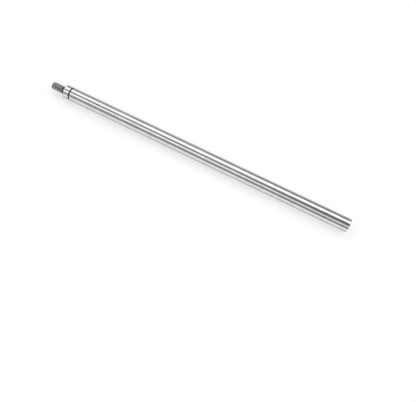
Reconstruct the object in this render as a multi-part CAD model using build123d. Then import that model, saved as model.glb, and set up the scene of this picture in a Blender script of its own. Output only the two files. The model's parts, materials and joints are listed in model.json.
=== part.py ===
from build123d import *
import os
from math import cos, radians, tan

# Threaded extension shaft, turned from one bar of steel. It lies along X: the stud points to -X,
# the plain end to +X. The origin is the centre of the shoulder that the stud stands on, because
# the working length is measured from there. All sizes are in millimetres.

# ---- Driving dimensions -------------------------------------------------------------------------

# Body: the ground cylinder between the shoulder and the plain end.
BODY_DIAMETER = 4.3
BODY_LENGTH = 100.0
SHOULDER_CHAMFER = 0.25
END_CHAMFER = 0.1

# Ring groove close behind the shoulder, which sets off a short collar.
COLLAR_LENGTH = 2.1
GROOVE_WIDTH = 0.45
GROOVE_DEPTH = 0.35
GROOVE_ROOT_RADIUS = 0.08

# Thread size, the same on the stud and in the tapped end, so that shafts screw into one another.
THREAD_DIAMETER = 2.5
THREAD_PITCH = 0.45

# Stud: a plain cylinder at the thread's outside diameter, with a relief against the shoulder.
STUD_LENGTH = 4.8
TIP_CHAMFER = 0.25
NECK_LAND = 0.05
NECK_FILLET = 0.3

# Tapped hole in the plain end.
HOLE_DEPTH = 7.0
COUNTERSINK_DIAMETER = 2.8
COUNTERSINK_ANGLE = 90.0
DRILL_POINT_ANGLE = 118.0

# ---- Derived dimensions -------------------------------------------------------------------------

# Depth of an ISO metric external thread, as a multiple of its pitch.
THREAD_DEPTH_PER_PITCH = 0.6134

body_radius = BODY_DIAMETER / 2
stud_radius = THREAD_DIAMETER / 2
thread_depth = THREAD_DEPTH_PER_PITCH * THREAD_PITCH
# The neck is as thick as the thread's root, and the thread runs out to it at 45 degrees.
neck_radius = stud_radius - thread_depth
neck_length = NECK_FILLET + NECK_LAND
# A tap drill is the thread's diameter less its pitch.
hole_radius = (THREAD_DIAMETER - THREAD_PITCH) / 2
countersink_radius = COUNTERSINK_DIAMETER / 2
countersink_depth = (countersink_radius - hole_radius) / tan(radians(COUNTERSINK_ANGLE / 2))
drill_point_length = hole_radius / tan(radians(DRILL_POINT_ANGLE / 2))


def turned_blank():
    """The whole outside without the groove: half its section, turned about X."""
    with BuildPart() as blank:
        with BuildSketch(Plane.XZ):
            with BuildLine():
                arc_start = (-NECK_FILLET, neck_radius)
                arc_end = (0, neck_radius + NECK_FILLET)
                arc_middle = (
                    -NECK_FILLET * (1 - cos(radians(45))),
                    neck_radius + NECK_FILLET * (1 - cos(radians(45))),
                )
                Polyline(
                    (-STUD_LENGTH, 0),
                    (-STUD_LENGTH, stud_radius - TIP_CHAMFER),
                    (-STUD_LENGTH + TIP_CHAMFER, stud_radius),
                    (-neck_length - thread_depth, stud_radius),
                    (-neck_length, neck_radius),
                    arc_start,
                )
                ThreePointArc(arc_start, arc_middle, arc_end)
                Polyline(
                    arc_end,
                    (0, body_radius - SHOULDER_CHAMFER),
                    (SHOULDER_CHAMFER, body_radius),
                    (BODY_LENGTH - END_CHAMFER, body_radius),
                    (BODY_LENGTH, body_radius - END_CHAMFER),
                    (BODY_LENGTH, 0),
                    (-STUD_LENGTH, 0),
                )
            make_face()
        revolve(axis=Axis.X)
    return blank.part


def ring_groove():
    """The ring of metal that the grooving tool takes out behind the collar."""
    root_radius = min(GROOVE_ROOT_RADIUS, 0.45 * GROOVE_WIDTH)
    floor_radius = body_radius - GROOVE_DEPTH
    # The cutter reaches past the surface by its own depth, so that the cut is clean.
    with BuildPart() as ring:
        with BuildSketch(Plane.XZ) as section:
            with Locations((COLLAR_LENGTH + GROOVE_WIDTH / 2, floor_radius)):
                Rectangle(GROOVE_WIDTH, 2 * GROOVE_DEPTH, align=(Align.CENTER, Align.MIN))
            fillet(section.vertices().group_by(Axis.Z)[0], root_radius)
        revolve(axis=Axis.X)
    return ring.part


def tapped_hole():
    """The hole in the plain end at tap drill size, with its countersink and drill point."""
    mouth = BODY_LENGTH
    floor = BODY_LENGTH - HOLE_DEPTH
    with BuildPart() as hole:
        with BuildSketch(Plane.XZ):
            with BuildLine():
                Polyline(
                    (mouth, 0),
                    (mouth, countersink_radius),
                    (mouth - countersink_depth, hole_radius),
                    (floor, hole_radius),
                    (floor - drill_point_length, 0),
                    (mouth, 0),
                )
            make_face()
        revolve(axis=Axis.X)
    return hole.part


stepped_shaft = turned_blank() - ring_groove() - tapped_hole()

os.makedirs("parts", exist_ok=True)
export_step(stepped_shaft, "parts/stepped_shaft.step")
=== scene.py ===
import json
import math

import bpy
from mathutils import Matrix, Vector


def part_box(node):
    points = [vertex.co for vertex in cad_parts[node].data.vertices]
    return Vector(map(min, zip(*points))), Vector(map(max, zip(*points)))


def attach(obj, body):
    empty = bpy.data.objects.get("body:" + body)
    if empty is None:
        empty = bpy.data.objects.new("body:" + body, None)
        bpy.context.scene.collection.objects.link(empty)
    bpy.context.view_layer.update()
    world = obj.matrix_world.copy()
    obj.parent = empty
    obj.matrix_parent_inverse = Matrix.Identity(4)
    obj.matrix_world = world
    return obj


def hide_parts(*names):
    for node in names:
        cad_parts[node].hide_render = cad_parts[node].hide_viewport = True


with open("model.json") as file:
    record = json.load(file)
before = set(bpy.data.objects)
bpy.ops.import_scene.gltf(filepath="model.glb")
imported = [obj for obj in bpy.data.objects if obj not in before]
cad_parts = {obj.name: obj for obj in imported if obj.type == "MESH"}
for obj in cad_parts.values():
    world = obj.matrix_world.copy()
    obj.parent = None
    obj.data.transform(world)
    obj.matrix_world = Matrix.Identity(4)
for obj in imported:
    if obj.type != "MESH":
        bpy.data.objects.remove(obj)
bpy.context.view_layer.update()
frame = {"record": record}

# The dressed model of a turned steel extension shaft, its studio and its camera. Lengths are in metres.
MM = 0.001

# ---- From the frame ------------------------------------------------------------------------------

NODE = "stepped_shaft"
mounts = {mount["name"]: mount for mount in frame["record"]["mounts"]}
low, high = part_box(NODE)

# The shaft lies along X: the shoulder is at x = 0, the stud's tip at the low end of the box and the
# plain end at the high end.
tip_x = low.x
end_x = high.x
floor_z = low.z
body_radius = mounts["body"]["dims"]["r_mm"] * MM
stud_radius = mounts["stud"]["dims"]["r_mm"] * MM
drill_radius = mounts["tapped_hole"]["dims"]["r_mm"] * MM

# ---- Sizes the frame does not name, as in the part's source --------------------------------------

SHOULDER_CHAMFER = 0.25 * MM
END_CHAMFER = 0.1 * MM
COLLAR_LENGTH = 2.1 * MM
GROOVE_WIDTH = 0.45 * MM
GROOVE_DEPTH = 0.35 * MM
GROOVE_ROOT_RADIUS = 0.08 * MM
TIP_CHAMFER = 0.25 * MM
NECK_LAND = 0.05 * MM
NECK_FILLET = 0.3 * MM
COUNTERSINK_RADIUS = 1.4 * MM
HOLE_DEPTH = 7.0 * MM
DRILL_POINT_HALF_ANGLE = math.radians(59)
THREAD_PITCH = 0.45 * MM

# ---- Sizes that only this model has --------------------------------------------------------------

# The internal thread stops this far above the hole's floor and fades in over the tap's lead.
TAP_CLEARANCE = 0.8 * MM
TAP_LEAD = 0.9 * MM

# Sharp corners are broken with a small arc, so that they catch the light.
CORNER_RADIUS = 0.05 * MM

# Metric thread profile, in pitches from the middle of a crest: a crest flat of 1/8 pitch, flanks at
# 60 degrees to each other, and a round root.
CREST_EDGE = 1 / 16
FLANK_SLOPE = math.sqrt(3)
ROOT_EDGE = 3 / 8
ROOT_RADIUS = 0.1443
THREAD_DEPTH = 0.6134

# Mesh density.
SEGMENTS = 128
ARC_STEPS = 4
FILLET_STEPS = 8
RING_SPACING = 2.5 * MM
# Rings on the drill point, as shares of the way to its tip.
DRILL_POINT_RINGS = (0.1, 0.5, 1)
# A thread's rows of vertices, in pitches: they stand this far to both sides of each edge of its
# profile, and at these places between the edges.
EDGE_GAP = 0.008
STUD_ROWS = [0.16, 0.27, 0.44]
HOLE_ROWS = [0.16, 0.25, 0.43]
# In one column of a thread, places along the axis that round to the same multiple of this are one.
MERGE_DISTANCE = 0.004 * THREAD_PITCH
# Extra turns, so that the rows of a thread reach past both of its ends.
SPARE_TURNS = 2
# The last ring before the neck's fillet, and before the hole's thread, stands this far from it.
SUPPORT_GAP = 0.01 * MM

neck_radius = stud_radius - THREAD_DEPTH * THREAD_PITCH
neck_x = -(NECK_FILLET + NECK_LAND)
# The stud's thread runs out to the neck at 45 degrees, from here.
run_out_x = neck_x - THREAD_DEPTH * THREAD_PITCH
groove_end = COLLAR_LENGTH + GROOVE_WIDTH
# The countersink's side is at 45 degrees, so it is as deep as it widens the hole's radius.
mouth_x = end_x - (COUNTERSINK_RADIUS - drill_radius)
hole_floor = end_x - HOLE_DEPTH
tap_start = hole_floor + TAP_CLEARANCE

# ---- Shape ---------------------------------------------------------------------------------------


def thread_depth_at(phase):
    """Depth below the crest, in pitches. The crests are where phase is a whole number."""
    offset = abs(phase - round(phase))
    if offset <= CREST_EDGE:
        return 0.0
    if offset <= ROOT_EDGE:
        return (offset - CREST_EDGE) * FLANK_SLOPE
    from_root = 0.5 - offset
    return THREAD_DEPTH - ROOT_RADIUS + math.sqrt(ROOT_RADIUS**2 - from_root**2)


def thread_rows(edges, between):
    """Phases of one turn that get a row of vertices, the same on both sides of the root."""
    before = [edge - EDGE_GAP for edge in edges]
    after = [edge + EDGE_GAP for edge in edges]
    half = sorted(before + after + between)
    return half + [0.5] + [1 - phase for phase in reversed(half)]


def stud_surface(x, phase):
    """Radius of the stud: its thread, cut by the tip's chamfer and by the run-out to the neck."""
    thread = stud_radius - THREAD_PITCH * thread_depth_at(phase)
    tip = stud_radius - TIP_CHAMFER + (x - tip_x)
    run_out = neck_radius + (neck_x - x)
    return min(thread, tip, run_out)


def hole_surface(x, phase):
    """Radius of the hole: its thread, which fades in over the tap's lead, and the countersink."""
    thread = stud_radius - THREAD_PITCH * thread_depth_at(phase)
    groove = max(0, thread - drill_radius)
    lead = min(1, max(0, (x - tap_start) / TAP_LEAD))
    countersink = drill_radius + (x - mouth_x)
    return max(drill_radius + groove * lead, countersink)


class Turning:
    """Collects the vertices and faces of a turned solid whose axis is X."""

    def __init__(self):
        self.points = []
        self.faces = []

    def vertex(self, x, radius, turn):
        """Adds a vertex this share of a turn round the axis, and returns its index."""
        angle = 2 * math.pi * turn
        self.points.append((x, radius * math.cos(angle), radius * math.sin(angle)))
        return len(self.points) - 1

    def ring(self, x, radius):
        """A ring of vertices, or one vertex on the axis in place of them all."""
        if radius == 0:
            return [self.vertex(x, 0, 0)] * SEGMENTS
        return [self.vertex(x, radius, j / SEGMENTS) for j in range(SEGMENTS)]

    def face(self, corners):
        """Adds a face without its repeated corners, if it has three or more of them."""
        corners = list(dict.fromkeys(corners))
        if len(corners) > 2:
            self.faces.append(corners)

    def bridge(self, first, second):
        """Joins two rings with faces."""
        for j in range(SEGMENTS):
            after = (j + 1) % SEGMENTS
            self.face((first[j], first[after], second[after], second[j]))

    def outline(self, rings, points):
        """Rings at the outline's points, joined to the last of the rings given."""
        for x, radius in points:
            rings.append(self.ring(x, radius))
            if len(rings) > 1:
                self.bridge(rings[-2], rings[-1])

    def thread(self, start, end, phases, radius_at, inside):
        """A threaded stretch whose rows of vertices follow the helix. Returns its two end rings.

        radius_at(x, phase) gives the surface. Rows past either end are held at that end, where
        they fall together into one ring.
        """
        rows = len(phases)
        turns = math.ceil((end - start) / THREAD_PITCH) + SPARE_TURNS
        last = rows * turns
        known = {}

        def place(row, column):
            turn = column / SEGMENTS
            along = phases[row % rows] + row // rows - SPARE_TURNS + turn
            x = min(max(start + along * THREAD_PITCH, start), end)
            key = (column, round((x - start) / MERGE_DISTANCE))
            if key not in known:
                phase = (x - start) / THREAD_PITCH - turn
                known[key] = self.vertex(x, radius_at(x, phase), turn)
            return known[key]

        for row in range(last):
            for column in range(SEGMENTS):
                # From the last column the helix goes on in the first, a whole turn of rows later.
                after = (column + 1) % SEGMENTS
                shift = rows if after == 0 else 0
                corners = [
                    place(row, column),
                    place(min(row + shift, last), after),
                    place(min(row + 1 + shift, last), after),
                    place(row + 1, column),
                ]
                if inside:
                    corners.reverse()
                self.face(corners)
        first = [place(0, column) for column in range(SEGMENTS)]
        final = [place(last, column) for column in range(SEGMENTS)]
        return first, final


def broken_corners(points, radii):
    """The outline with each of its inner corners replaced by an arc tangent to both sides."""
    result = [points[0]]
    for before, corner, after, radius in zip(points, points[1:], points[2:], radii):
        here = Vector(corner)
        back = (Vector(before) - here).normalized()
        onward = (Vector(after) - here).normalized()
        half = back.angle(onward) / 2
        centre = here + (back + onward).normalized() * (radius / math.sin(half))
        start = here + back * (radius / math.tan(half)) - centre
        side = 1 if start.cross(here - centre) > 0 else -1
        sweep = side * (math.pi - 2 * half)
        for step in range(ARC_STEPS + 1):
            turned = Matrix.Rotation(sweep * step / ARC_STEPS, 2) @ start
            result.append(tuple(centre + turned))
    result.append(points[-1])
    return result


def supported(points, margin):
    """Adds points to each straight run longer than four margins.

    Two of them stand a margin from its ends, and the others divide what is between them.
    """
    result = [points[0]]
    for first, second in zip(points, points[1:]):
        a = Vector(first)
        b = Vector(second)
        length = (b - a).length
        if length > 4 * margin:
            inset = margin / length
            steps = max(1, round(length / RING_SPACING))
            for step in range(steps + 1):
                share = inset + (1 - 2 * inset) * step / steps
                result.append(tuple(a.lerp(b, share)))
        result.append(second)
    return result


def neck_fillet():
    """The arc from the neck out to the shoulder's face."""
    centre_radius = neck_radius + NECK_FILLET
    angles = [math.radians(90 * step / FILLET_STEPS) for step in range(FILLET_STEPS + 1)]
    return [
        (-NECK_FILLET * (1 - math.sin(angle)), centre_radius - NECK_FILLET * math.cos(angle))
        for angle in angles
    ]


def body_outline(shoulder_start):
    """From the shoulder's face over collar, groove and body to the countersink's thread."""
    groove_floor = body_radius - GROOVE_DEPTH
    corners = [
        shoulder_start,
        (0, body_radius - SHOULDER_CHAMFER),
        (SHOULDER_CHAMFER, body_radius),
        (COLLAR_LENGTH, body_radius),
        (COLLAR_LENGTH, groove_floor),
        (groove_end, groove_floor),
        (groove_end, body_radius),
        (end_x - END_CHAMFER, body_radius),
        (end_x, body_radius - END_CHAMFER),
        (end_x, COUNTERSINK_RADIUS),
        (end_x - (COUNTERSINK_RADIUS - stud_radius) + SUPPORT_GAP, stud_radius + SUPPORT_GAP),
    ]
    radii = [
        CORNER_RADIUS,
        2 * CORNER_RADIUS,
        CORNER_RADIUS,
        GROOVE_ROOT_RADIUS,
        GROOVE_ROOT_RADIUS,
        CORNER_RADIUS,
        2 * CORNER_RADIUS,
        CORNER_RADIUS,
        CORNER_RADIUS,
    ]
    return supported(broken_corners(corners, radii), CORNER_RADIUS / 2)


def hole_bottom():
    """From the end of the internal thread to the tip of the drill point."""
    point_depth = drill_radius / math.tan(DRILL_POINT_HALF_ANGLE)
    wall = [
        (tap_start - CORNER_RADIUS, drill_radius),
        (hole_floor + CORNER_RADIUS, drill_radius),
        (hole_floor, drill_radius),
    ]
    cone = [
        (hole_floor - share * point_depth, (1 - share) * drill_radius)
        for share in DRILL_POINT_RINGS
    ]
    return wall + cone


def shaft_mesh():
    """The whole shaft as one closed surface, from the tip's centre round to the hole's bottom."""
    turning = Turning()

    tip_face = stud_radius - TIP_CHAMFER
    rings = []
    turning.outline(rings, [(tip_x, 0), (tip_x, tip_face / 2), (tip_x, tip_face - CORNER_RADIUS)])
    stud_rows = thread_rows([CREST_EDGE, ROOT_EDGE], STUD_ROWS)
    stud_start, stud_end = turning.thread(tip_x, neck_x, stud_rows, stud_surface, inside=False)
    turning.bridge(rings[-1], stud_start)

    fillet = neck_fillet()
    neck = [(fillet[0][0] - SUPPORT_GAP, neck_radius)]
    body = body_outline(fillet[-1])
    rings = [stud_end]
    turning.outline(rings, neck + fillet[:-1] + body[:-1])

    # The last point of the body is where the thread in the hole begins.
    thread_mouth = body[-1][0]
    minor_edge = CREST_EDGE + (stud_radius - drill_radius) / THREAD_PITCH / FLANK_SLOPE
    hole_rows = thread_rows([CREST_EDGE, minor_edge], HOLE_ROWS)
    tap_bottom, tap_top = turning.thread(tap_start, thread_mouth, hole_rows, hole_surface, inside=True)
    turning.bridge(rings[-1], tap_top)
    turning.outline([tap_bottom], hole_bottom())

    mesh = bpy.data.meshes.new("shaft_ground")
    mesh.from_pydata(turning.points, [], turning.faces)
    mesh.validate()
    mesh.shade_smooth()
    return mesh


# ---- Node trees ----------------------------------------------------------------------------------


class Graph:
    """A node tree written as expressions, whose values are numbers, colours or sockets."""

    def __init__(self, tree):
        self.tree = tree
        tree.nodes.clear()

    def feed(self, socket, value):
        """Links a socket to the input, or sets the input to a number or colour."""
        if isinstance(value, bpy.types.NodeSocket):
            self.tree.links.new(value, socket)
        else:
            socket.default_value = value

    def node(self, kind, inputs=None, **settings):
        node = self.tree.nodes.new(kind)
        for name, value in settings.items():
            setattr(node, name, value)
        for name, value in (inputs or {}).items():
            self.feed(node.inputs[name], value)
        return node

    def calculate(self, operation, *values):
        node = self.node("ShaderNodeMath", operation=operation)
        for socket, value in zip(node.inputs, values):
            self.feed(socket, value)
        return node.outputs[0]

    def chain(self, operation, values):
        """The operation on the first two values, then on the result and the next, and so on."""
        result, *others = values
        for value in others:
            result = self.calculate(operation, result, value)
        return result

    def total(self, *values):
        return self.chain("ADD", values)

    def product(self, *values):
        return self.chain("MULTIPLY", values)

    def largest(self, *values):
        return self.chain("MAXIMUM", values)

    def difference(self, first, second):
        return self.calculate("SUBTRACT", first, second)

    def towards(self, value, goal, share):
        """value, moved by this share of the way towards goal."""
        return self.total(value, self.product(share, self.difference(goal, value)))

    def ramp(self, value, span, out_low, out_high, smooth=True):
        """Maps value over the span from out_low to out_high and holds it beyond."""
        node = self.node(
            "ShaderNodeMapRange",
            {
                "Value": value,
                "From Min": span[0],
                "From Max": span[1],
                "To Min": out_low,
                "To Max": out_high,
            },
            interpolation_type="SMOOTHSTEP" if smooth else "LINEAR",
        )
        return node.outputs[0]

    def rise(self, value, span):
        """0 before the span and 1 after it."""
        return self.ramp(value, span, 0, 1)

    def fall(self, value, span):
        """1 before the span and 0 after it."""
        return self.ramp(value, span, 1, 0)

    def curve(self, value, points):
        """The broken line through these points, level beyond them."""
        (at, height), *others = points
        result = height
        for next_at, next_height in others:
            step = self.ramp(value, (at, next_at), 0, next_height - height, smooth=False)
            result = self.total(result, step)
            at, height = next_at, next_height
        return result

    def noise(self, vector, scale, detail):
        """scale is in features per metre along X, Y and Z."""
        mapping = self.node("ShaderNodeMapping", {"Vector": vector, "Scale": scale})
        node = self.node(
            "ShaderNodeTexNoise", {"Vector": mapping.outputs[0], "Scale": 1.0, "Detail": detail}
        )
        return node.outputs[0]

    def mix(self, share, first, second):
        """The colour this share of the way from first to second."""
        node = self.node("ShaderNodeMix", {"Factor": share}, data_type="RGBA")
        # For colours, the mix node's inputs are 6 and 7, and its output is 2.
        self.feed(node.inputs[6], first)
        self.feed(node.inputs[7], second)
        return node.outputs[2]


# ---- Material ------------------------------------------------------------------------------------

# Ground steel varies between the first two in broad bands round the shaft, and has fine marks.
STEEL_DULL = (0.70, 0.70, 0.695, 1)
STEEL_BRIGHT = (0.78, 0.78, 0.77, 1)
STEEL_MARKED = (0.62, 0.62, 0.615, 1)
MARK_STRENGTH = 0.35
# The cut thread is a little darker, as painted shade of its flanks, and recesses are painted black as
# shade.
STEEL_THREAD_SHADED = (0.66, 0.66, 0.655, 1)
RECESS_PAINTED_SHADE = (0.02, 0.02, 0.02, 1)

# The marks run round the axis. They are noise that is fine along the outline, which x and this many
# times the radius give together, and long round it. Of bands and marks, only the middle values of
# the noise make a difference.
RADIUS_SHARE = 1.3
BAND_NOISE = {"scale": (350, 90, 90), "detail": 3.0}
MARK_NOISE = {"scale": (9000, 350, 350), "detail": 3.0}
LINE_NOISE = {"scale": (38000, 900, 900), "detail": 2.0}
BAND_MIDDLE = (0.35, 0.65)
MARK_MIDDLE = (0.3, 0.7)

# The roughness of ground steel, and what the thread and the recesses add to it.
ROUGHNESS_RANGE = (0.15, 0.24)
THREAD_ROUGHNESS = 0.06
RECESS_ROUGHNESS = 0.2
# The relief, which the marks and the finer lines share.
BUMP_STRENGTH = 0.5
BUMP_HEIGHT = 0.003 * MM
MARK_HEIGHT_SHARE = 0.6
LINE_HEIGHT_SHARE = 0.4
# The marks draw the highlight out along the shaft, a quarter turn from the tangent that runs round it.
ANISOTROPY = 0.6
QUARTER_TURN = 0.25
# Steel reflects less near grazing angles than it would without this.
EDGE_TINT = (0.3, 0.3, 0.3, 1)

# A pair is where the thread's finish or the painted shade fades in or out: along x, by radius, or by
# depth below the thread's crests.
# The thread's rougher finish and its painted shade end just before the shoulder's face.
STUD_END = (-0.05 * MM, -0.01 * MM)
ROOT_DEPTH = (0.04 * MM, 0.2 * MM)
BEHIND_TIP_FACE = (tip_x + 0.01 * MM, tip_x + 0.05 * MM)
RUN_OUT_START = (run_out_x - 0.04 * MM, run_out_x + 0.04 * MM)
GROOVE_START = (COLLAR_LENGTH - 0.05 * MM, COLLAR_LENGTH)
GROOVE_END = (groove_end, groove_end + 0.05 * MM)
GROOVE_TOP = (body_radius - 0.2 * GROOVE_DEPTH, body_radius - 0.05 * GROOVE_DEPTH)
# From the drill point the hole's painted shade, black, grows all the way to the countersink, whose rim
# stays bright.
HOLE_LENGTH = (hole_floor - 1 * MM, mouth_x + 0.1 * MM)
HOLE_RIM = (stud_radius, stud_radius + 0.02 * MM)


def recess_painted_shade_mask(graph, x, radius, on_stud):
    """1 where recesses are painted black as shade: thread roots, run-out and neck, groove, and the
    hole's mouth.
    """
    # The crests follow the tip's chamfer, and the tip's face stays bright.
    tip_cone = graph.total(x, stud_radius - TIP_CHAMFER - tip_x)
    crest = graph.calculate("MINIMUM", tip_cone, stud_radius)
    root = graph.product(
        graph.rise(graph.difference(crest, radius), ROOT_DEPTH), graph.rise(x, BEHIND_TIP_FACE)
    )
    in_thread = graph.product(on_stud, graph.largest(root, graph.rise(x, RUN_OUT_START)))
    in_groove = graph.product(
        graph.rise(x, GROOVE_START), graph.fall(x, GROOVE_END), graph.fall(radius, GROOVE_TOP)
    )
    in_hole = graph.product(graph.rise(x, HOLE_LENGTH), graph.fall(radius, HOLE_RIM))
    return graph.largest(in_thread, in_groove, in_hole)


def ground_steel():
    """Ground steel with fine marks round the shaft, and painted shade: a little darker on the thread
    and black in recesses.
    """
    material = bpy.data.materials.new("ground_steel_marked")
    material.use_nodes = True
    graph = Graph(material.node_tree)
    position = graph.node("ShaderNodeTexCoord").outputs["Object"]
    x, y, z = graph.node("ShaderNodeSeparateXYZ", {"Vector": position}).outputs
    radius = graph.calculate("SQRT", graph.total(graph.product(y, y), graph.product(z, z)))

    outline = graph.total(x, graph.product(radius, RADIUS_SHARE))
    marked = graph.node("ShaderNodeCombineXYZ", {"X": outline, "Y": y, "Z": z}).outputs[0]
    bands = graph.noise(marked, **BAND_NOISE)
    marks = graph.noise(marked, **MARK_NOISE)
    lines = graph.noise(marked, **LINE_NOISE)

    on_stud = graph.fall(x, STUD_END)
    recess_painted_shade = recess_painted_shade_mask(graph, x, radius, on_stud)

    colour = graph.mix(graph.rise(bands, BAND_MIDDLE), STEEL_DULL, STEEL_BRIGHT)
    colour = graph.mix(graph.ramp(marks, MARK_MIDDLE, 0, MARK_STRENGTH), colour, STEEL_MARKED)
    # Painted shade: the thread is a little darker all over.
    colour = graph.mix(on_stud, colour, STEEL_THREAD_SHADED)
    # Painted shade: recesses are black.
    colour = graph.mix(recess_painted_shade, colour, RECESS_PAINTED_SHADE)

    roughness = graph.total(
        graph.ramp(marks, MARK_MIDDLE, *ROUGHNESS_RANGE),
        graph.product(on_stud, THREAD_ROUGHNESS),
        graph.product(recess_painted_shade, RECESS_ROUGHNESS),
    )
    height = graph.total(
        graph.product(marks, MARK_HEIGHT_SHARE), graph.product(lines, LINE_HEIGHT_SHARE)
    )
    bump = graph.node(
        "ShaderNodeBump", {"Height": height, "Strength": BUMP_STRENGTH, "Distance": BUMP_HEIGHT}
    )
    tangent = graph.node("ShaderNodeTangent", direction_type="RADIAL", axis="X")
    shader = graph.node(
        "ShaderNodeBsdfPrincipled",
        {
            "Base Color": colour,
            "Metallic": 1.0,
            "Specular Tint": EDGE_TINT,
            "Roughness": roughness,
            "Anisotropic": ANISOTROPY,
            "Anisotropic Rotation": QUARTER_TURN,
            "Normal": bump.outputs[0],
            "Tangent": tangent.outputs[0],
        },
    )
    graph.node("ShaderNodeOutputMaterial", {"Surface": shader.outputs[0]})
    return material


shaft = bpy.data.objects.new("shaft_ground", shaft_mesh())
bpy.context.scene.collection.objects.link(shaft)
shaft.data.materials.append(ground_steel())
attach(shaft, "root")
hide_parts(NODE)

# ---- Studio --------------------------------------------------------------------------------------

# The light depends on direction alone. A direction has an angle over the shaft in degrees, from 0 at
# the front horizon through 90 overhead to 180 at the back one. It has a lean along X from -1 to 1,
# whose size towards either end is its tilt, and a height from 0 at the horizon to 1 overhead. A pair
# is where something fades in or out, and a list of pairs is a value by the lean. Light of strength 1
# is white.

# Grey walls all round. Behind the shaft they are darker by this share.
WALL_LIGHT = [
    (-0.45, 0.34),
    (-0.28, 0.33),
    (-0.05, 0.285),
    (0.03, 0.24),
    (0.12, 0.18),
    (0.25, 0.18),
    (0.6, 0.35),
]
BACK_WALL_ANGLE = (145, 157)
BACK_WALL_SHADE = [(-0.4, 0), (-0.1, 0.3), (0.16, 0.4), (0.4, 0)]

# Bright screens above the walls at the shaft's two ends.
SCREEN_LIGHT = 1.5
SCREEN_TILT = (0.5, 0.65)
SCREEN_HEIGHT = (0.2, 0.4)

# A darker strip overhead, between the softboxes. Its light is a share of the walls' light.
STRIP_RISE = (65, 78)
STRIP_FALL = (92, 102)
STRIP_TILT = (0.5, 0.7)
STRIP_LIGHT = [(-0.43, 0.2), (-0.2, 0.6), (-0.05, 0.85), (0.05, 0.75), (0.16, 0.45)]

# A long softbox on the back side. Its upper edge is bent up by this many degrees.
BACK_BOX_RISE = (91, 105)
BACK_BOX_BEND = [(-0.43, -3), (-0.3, 3), (-0.12, 5), (0.02, 2), (0.16, -2)]
BACK_BOX_FALL = (133, 153)
BACK_BOX_LIGHT = [(-0.43, 0.95), (0.16, 1.2)]

# A long softbox on the front side, hung aslant. Its edges are in degrees from its middle line.
FRONT_BOX_MIDDLE = [(-0.45, 63), (0.2, 39)]
FRONT_BOX_RISE = (-17, -8)
FRONT_BOX_FALL = (8, 17)
FRONT_BOX_LIGHT = [(-0.43, 1.0), (-0.14, 1.0), (0, 0.75), (0.16, 0.65)]

# Both softboxes end at this tilt.
BOX_TILT = (0.6, 0.8)

# Just above the horizon all is as white as the floor, so that the floor's far edge doesn't show.
HORIZON_LIGHT = 1.0
HORIZON_HEIGHT = (0.0, 0.04)

FLOOR_HALF_SIZE = 12
FLOOR_COLOUR = (0.52, 0.52, 0.52, 1)
# What the floor adds to its colour for a ray that looks at it, which makes it white.
FLOOR_GLOW = 0.52


def studio_world():
    """Two long softboxes over the shaft, grey walls all round and bright screens at both ends."""
    world = bpy.data.worlds.new("studio")
    bpy.context.scene.world = world
    world.use_nodes = True
    graph = Graph(world.node_tree)
    direction = graph.node("ShaderNodeTexCoord").outputs["Generated"]
    lean, depth, height = graph.node("ShaderNodeSeparateXYZ", {"Vector": direction}).outputs
    forward = graph.product(depth, -1.0)
    angle = graph.calculate("DEGREES", graph.calculate("ARCTAN2", height, forward))
    tilt = graph.calculate("ABSOLUTE", lean)

    walls = graph.curve(lean, WALL_LIGHT)
    shade = graph.product(graph.rise(angle, BACK_WALL_ANGLE), graph.curve(lean, BACK_WALL_SHADE))
    walls = graph.towards(walls, 0.0, shade)
    screens = graph.product(graph.rise(tilt, SCREEN_TILT), graph.rise(height, SCREEN_HEIGHT))
    walls = graph.towards(walls, SCREEN_LIGHT, screens)
    strip = graph.product(
        graph.rise(angle, STRIP_RISE),
        graph.fall(angle, STRIP_FALL),
        graph.fall(tilt, STRIP_TILT),
        graph.difference(1.0, graph.curve(lean, STRIP_LIGHT)),
    )
    walls = graph.towards(walls, 0.0, strip)

    bent = graph.total(angle, graph.curve(lean, BACK_BOX_BEND))
    back_box = graph.product(
        graph.rise(bent, BACK_BOX_RISE),
        graph.fall(angle, BACK_BOX_FALL),
        graph.curve(lean, BACK_BOX_LIGHT),
    )
    from_middle = graph.difference(angle, graph.curve(lean, FRONT_BOX_MIDDLE))
    front_box = graph.product(
        graph.rise(from_middle, FRONT_BOX_RISE),
        graph.fall(from_middle, FRONT_BOX_FALL),
        graph.curve(lean, FRONT_BOX_LIGHT),
    )
    boxes = graph.product(graph.total(back_box, front_box), graph.fall(tilt, BOX_TILT))

    light = graph.total(walls, boxes)
    light = graph.towards(light, HORIZON_LIGHT, graph.fall(height, HORIZON_HEIGHT))
    background = graph.node("ShaderNodeBackground", {"Color": light, "Strength": 1.0})
    graph.node("ShaderNodeOutputWorld", {"Surface": background.outputs[0]})


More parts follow.
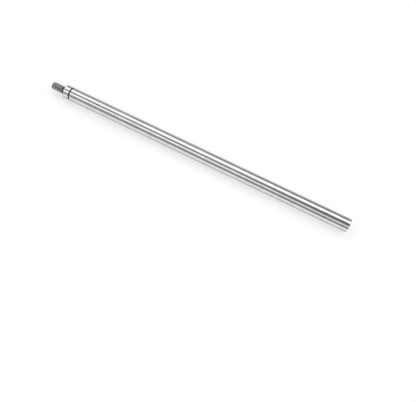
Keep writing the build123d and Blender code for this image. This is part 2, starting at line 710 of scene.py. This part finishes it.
def studio_floor():
    """A wide white floor. Its own light goes only to what looks at it, so it keeps the shadow."""
    size = FLOOR_HALF_SIZE
    sides = [(-size, -size), (size, -size), (size, size), (-size, size)]
    mesh = bpy.data.meshes.new("studio_floor")
    mesh.from_pydata([(x, y, floor_z) for x, y in sides], [], [(0, 1, 2, 3)])
    floor = bpy.data.objects.new("studio_floor", mesh)
    bpy.context.scene.collection.objects.link(floor)

    material = bpy.data.materials.new("floor_white")
    material.use_nodes = True
    graph = Graph(material.node_tree)
    ray = graph.node("ShaderNodeLightPath").outputs
    looking = graph.largest(
        ray["Is Camera Ray"], ray["Is Glossy Ray"], ray["Is Transmission Ray"]
    )
    shader = graph.node(
        "ShaderNodeBsdfPrincipled",
        {
            "Base Color": FLOOR_COLOUR,
            "Roughness": 1.0,
            "Specular IOR Level": 0.0,
            "Emission Color": (1, 1, 1, 1),
            "Emission Strength": graph.product(looking, FLOOR_GLOW),
        },
    )
    graph.node("ShaderNodeOutputMaterial", {"Surface": shader.outputs[0]})
    mesh.materials.append(material)


studio_world()
studio_floor()

# ---- Camera --------------------------------------------------------------------------------------

# Azimuth 0 looks at the shaft from the front, along +Y.
TARGET = Vector((58.65, -12.95, 0)) * MM
CAMERA_DISTANCE = 135.79 * MM
VIEW_AZIMUTH = math.radians(16.405)
VIEW_ELEVATION = math.radians(66.609)
VIEW_ROLL = math.radians(10.885)
FOCAL_LENGTH = 38.815
SENSOR_WIDTH = 36.0
CLIP_START = 5 * MM
CLIP_END = 50

camera_data = bpy.data.cameras.new("camera")
camera_data.lens = FOCAL_LENGTH
camera_data.sensor_width = SENSOR_WIDTH
camera_data.clip_start = CLIP_START
camera_data.clip_end = CLIP_END

from_target = Vector((
    math.sin(VIEW_AZIMUTH) * math.cos(VIEW_ELEVATION),
    -math.cos(VIEW_AZIMUTH) * math.cos(VIEW_ELEVATION),
    math.sin(VIEW_ELEVATION),
))
stand = Matrix.Translation(TARGET + from_target * CAMERA_DISTANCE)
upright = (-from_target).to_track_quat("-Z", "Y").to_matrix().to_4x4()
roll = Matrix.Rotation(VIEW_ROLL, 4, "Z")
camera = bpy.data.objects.new("camera", camera_data)
camera.matrix_world = stand @ upright @ roll
bpy.context.scene.collection.objects.link(camera)
bpy.context.scene.camera = camera

bpy.context.scene.view_settings.view_transform = "Standard"
